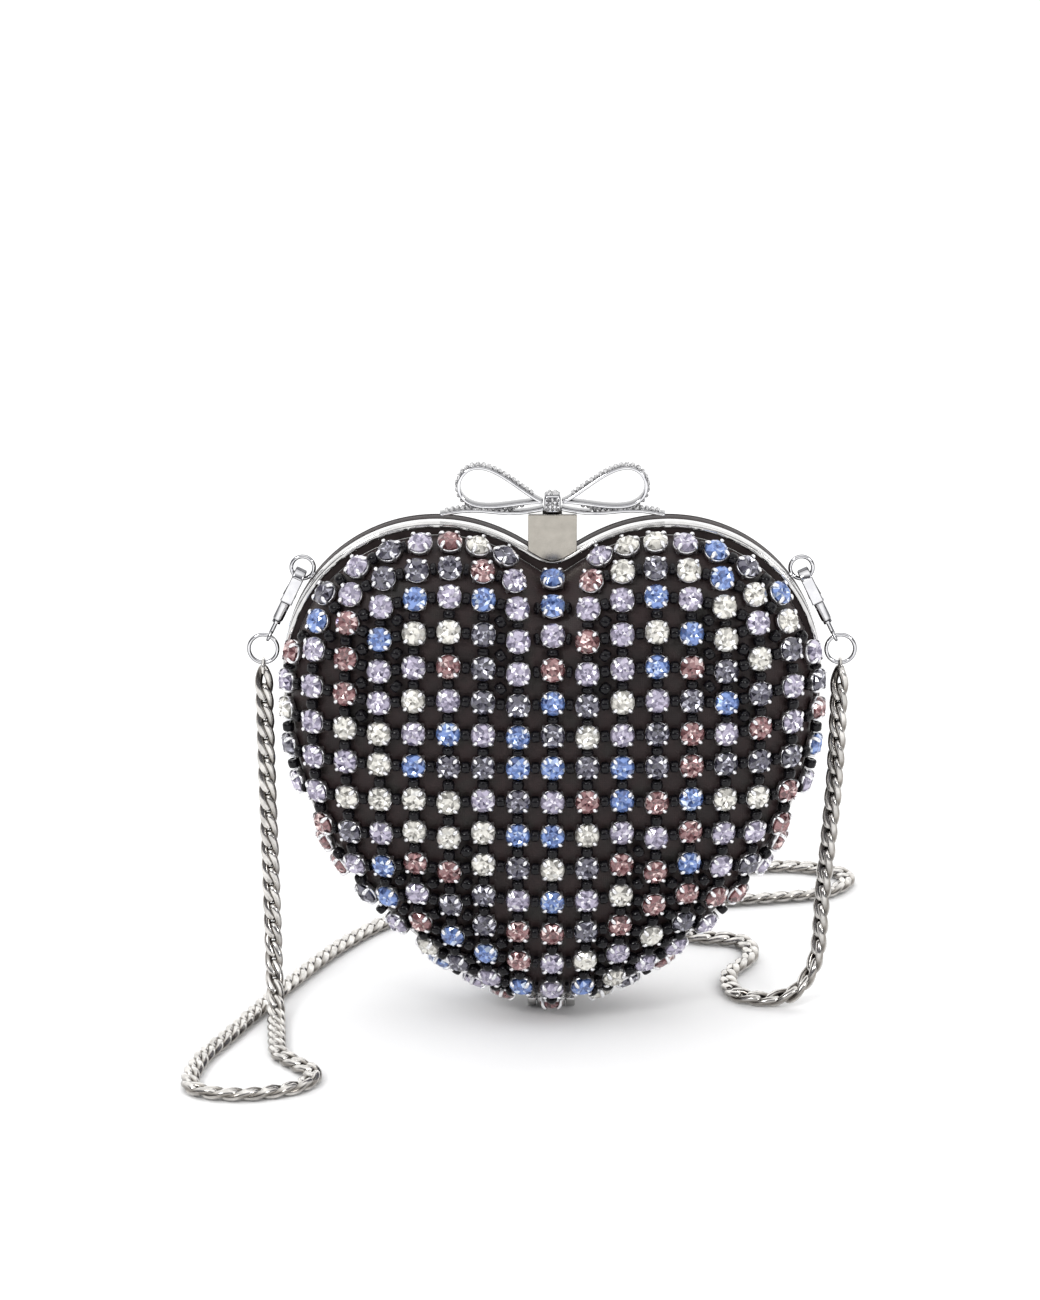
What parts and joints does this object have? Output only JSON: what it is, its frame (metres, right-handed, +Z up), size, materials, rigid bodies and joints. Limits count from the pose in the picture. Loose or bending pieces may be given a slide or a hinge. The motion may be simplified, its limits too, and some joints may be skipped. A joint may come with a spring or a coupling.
{
  "type": "heart-shaped evening clutch bag",
  "caption": "Heart-shaped hard clutch with a crystal and bead net, hinged at the tip, bow catch in the cleft, and a silver chain on side snap hooks.",
  "frame": {"origin": "on the ground under the middle of the hinge, which is the foot at the tip of the heart", "axes": "+X across the bag, +Y from its front to its back, +Z up"},
  "size_m": [0.1932, 0.1942, 0.156],
  "materials": {
    "shell_satin": "dark satin over a hard shell",
    "lining_cloth": "soft dark lining",
    "rim_dark": "glossy black enamel",
    "rim_bright": "polished silver",
    "pin_steel": "drawn steel",
    "spring_steel": "wound steel",
    "clasp_chrome": "polished silver",
    "plate_polish": "polished silver, bare",
    "bow_metal": "polished silver",
    "bow_stones": "cut crystal",
    "cup_metal": "polished silver",
    "black_glass": "glossy black",
    "blue_crystal": "cut crystal",
    "lilac_crystal": "cut crystal",
    "rose_crystal": "cut crystal",
    "clear_crystal": "cut crystal",
    "smoke_crystal": "cut crystal",
    "fitting_chrome": "polished silver",
    "chain_metal": "bright silver"
  },
  "bodies": {
    "back_half": {"back_shell": "shell_satin", "back_lining": "lining_cloth", "back_rim": "rim_dark", "hinge_pin": "pin_steel", "clasp_housing": "clasp_chrome", "clasp_pin": "pin_steel", "clasp_spring": "spring_steel", "left_lug": "fitting_chrome", "right_lug": "fitting_chrome", "back_cups": "cup_metal", "back_beads": "black_glass", "back_blue": "blue_crystal", "back_lilac": "lilac_crystal", "back_rose": "rose_crystal", "back_clear": "clear_crystal", "back_smoke": "smoke_crystal", "chain": "chain_metal"},
    "front_half": {"front_shell": "shell_satin", "front_lining": "lining_cloth", "front_rim": "rim_bright", "clasp_plate": "plate_polish", "front_cups": "cup_metal", "front_beads": "black_glass", "front_blue": "blue_crystal", "front_lilac": "lilac_crystal", "front_rose": "rose_crystal", "front_clear": "clear_crystal", "front_smoke": "smoke_crystal"},
    "bow_catch": {"clasp_lever": "clasp_chrome", "bow_loop_left": "bow_metal", "bow_loop_right": "bow_metal", "bow_tail_left": "bow_metal", "bow_tail_right": "bow_metal", "bow_knot": "bow_metal", "bow_crystals": "bow_stones"},
    "left_hook_body": {"left_hook": "fitting_chrome", "left_gate_pin": "pin_steel"},
    "left_gate_body": {"left_gate": "fitting_chrome"},
    "left_swivel_body": {"left_swivel": "fitting_chrome"},
    "left_end_ring_body": {"left_end_ring": "fitting_chrome"},
    "right_hook_body": {"right_hook": "fitting_chrome", "right_gate_pin": "pin_steel"},
    "right_gate_body": {"right_gate": "fitting_chrome"},
    "right_swivel_body": {"right_swivel": "fitting_chrome"},
    "right_end_ring_body": {"right_end_ring": "fitting_chrome"}
  },
  "joints": [
    {"name": "lid_hinge", "type": "hinge", "parent": "back_half", "child": "front_half", "pos_m": [0, 0, 0.00235], "axis": [1, 0, 0], "range_deg": [0, 60]},
    {"name": "bow_press", "type": "hinge", "parent": "back_half", "child": "bow_catch", "pos_m": [0, 0.0034, 0.136], "axis": [-1, 0, 0], "range_deg": [0, 15], "stiffness_Nm_per_rad": 0.06, "springref_deg": -14.32},
    {"name": "left_hook_swing", "type": "hinge", "parent": "back_half", "child": "left_hook_body", "pos_m": [-0.06814, 0.003, 0.12573], "axis": [0, 1, 0], "range_deg": [0, 60]},
    {"name": "left_gate_press", "type": "hinge", "parent": "left_hook_body", "child": "left_gate_body", "pos_m": [-0.07275, 0.00458, 0.11628], "axis": [0.8988, 0, -0.4384], "range_deg": [0, 20], "stiffness_Nm_per_rad": 0.001, "springref_deg": -17.19},
    {"name": "left_swivel_turn", "type": "hinge", "parent": "left_hook_body", "child": "left_swivel_body", "pos_m": [-0.07537, 0.003, 0.11091], "axis": [0.4384, 0, 0.8988], "range_deg": [-90, 90]},
    {"name": "left_ring_swing", "type": "hinge", "parent": "left_swivel_body", "child": "left_end_ring_body", "pos_m": [-0.07752, 0.003, 0.1065], "axis": [0, 1, 0], "range_deg": [0, 15]},
    {"name": "right_hook_swing", "type": "hinge", "parent": "back_half", "child": "right_hook_body", "pos_m": [0.06814, 0.003, 0.12573], "axis": [0, -1, 0], "range_deg": [0, 60]},
    {"name": "right_gate_press", "type": "hinge", "parent": "right_hook_body", "child": "right_gate_body", "pos_m": [0.07275, 0.00458, 0.11628], "axis": [0.8988, 0, 0.4384], "range_deg": [0, 20], "stiffness_Nm_per_rad": 0.001, "springref_deg": -17.19},
    {"name": "right_swivel_turn", "type": "hinge", "parent": "right_hook_body", "child": "right_swivel_body", "pos_m": [0.07537, 0.003, 0.11091], "axis": [-0.4384, 0, 0.8988], "range_deg": [-90, 90]},
    {"name": "right_ring_swing", "type": "hinge", "parent": "right_swivel_body", "child": "right_end_ring_body", "pos_m": [0.07752, 0.003, 0.1065], "axis": [0, -1, 0], "range_deg": [0, 15]}
  ]
}
